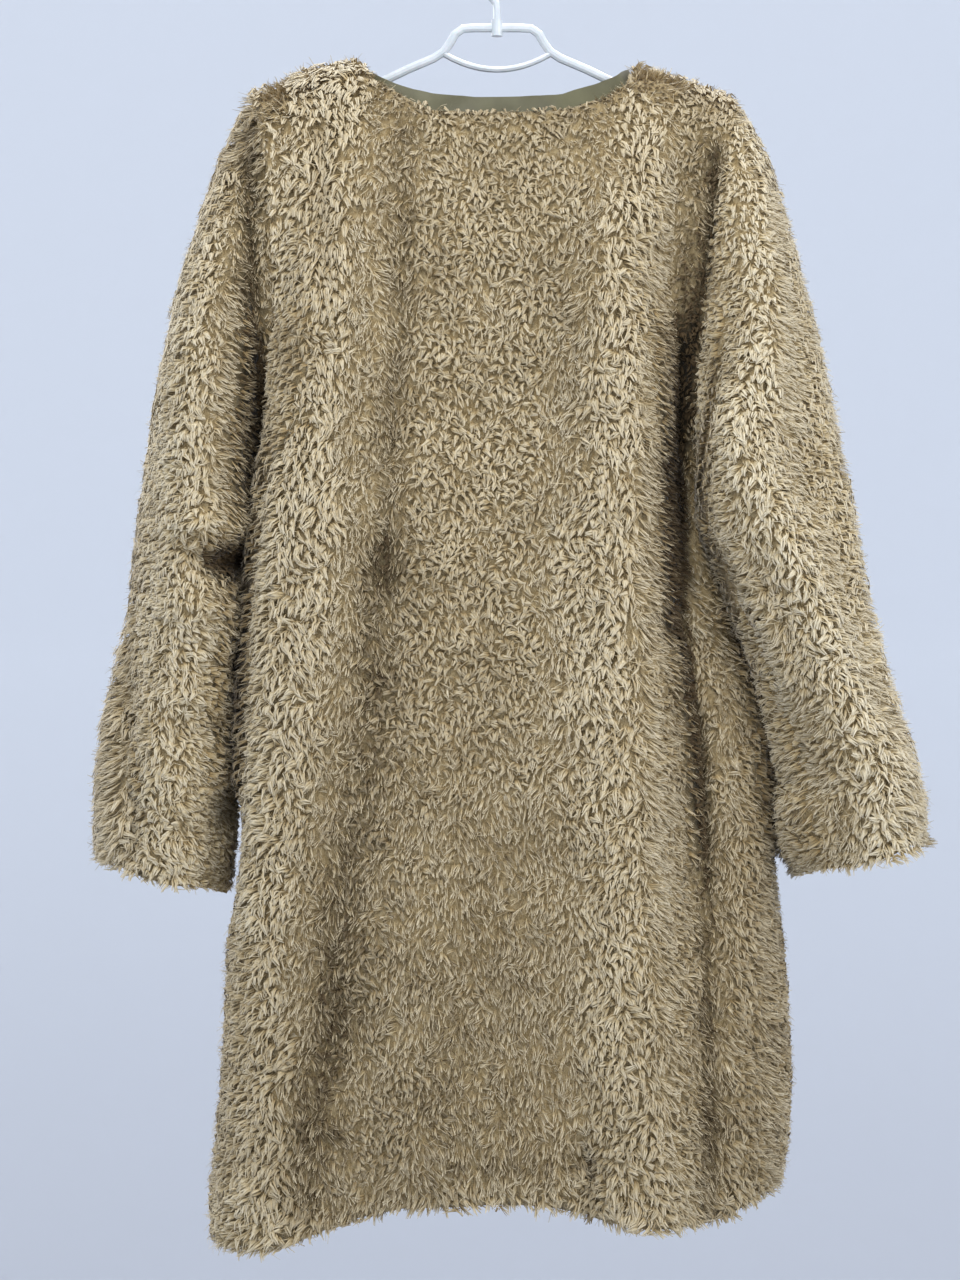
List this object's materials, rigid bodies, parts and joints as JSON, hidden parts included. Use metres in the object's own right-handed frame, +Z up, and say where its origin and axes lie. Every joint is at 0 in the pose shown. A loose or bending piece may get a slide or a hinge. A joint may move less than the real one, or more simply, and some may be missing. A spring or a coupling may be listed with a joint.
{
  "type": "faux fur coat on hanger",
  "caption": "Collarless knee-length curly faux fur coat with long open sleeves, hanging on a plain moulded hanger.",
  "frame": {"origin": "bearing point at the top inside of the hanger hook's bend, where a rail or peg carries it", "axes": "+Z up, +X towards the wearer's left, +Y towards the coat's back"},
  "size_m": [0.6533, 0.2314, 1.0289],
  "materials": {
    "fur": "curly pile, dark at the roots and cream at the tips",
    "satin": "olive satin",
    "plastic": "smooth white moulding"
  },
  "bodies": {
    "root": {"back": "fur", "front_left": "fur", "front_right": "fur", "sleeve_left": "fur", "sleeve_right": "fur", "facing_back": "satin", "facing_front_left": "satin", "facing_front_right": "satin", "hanger_frame": "plastic", "hanger_hook": "plastic"}
  },
  "joints": []
}
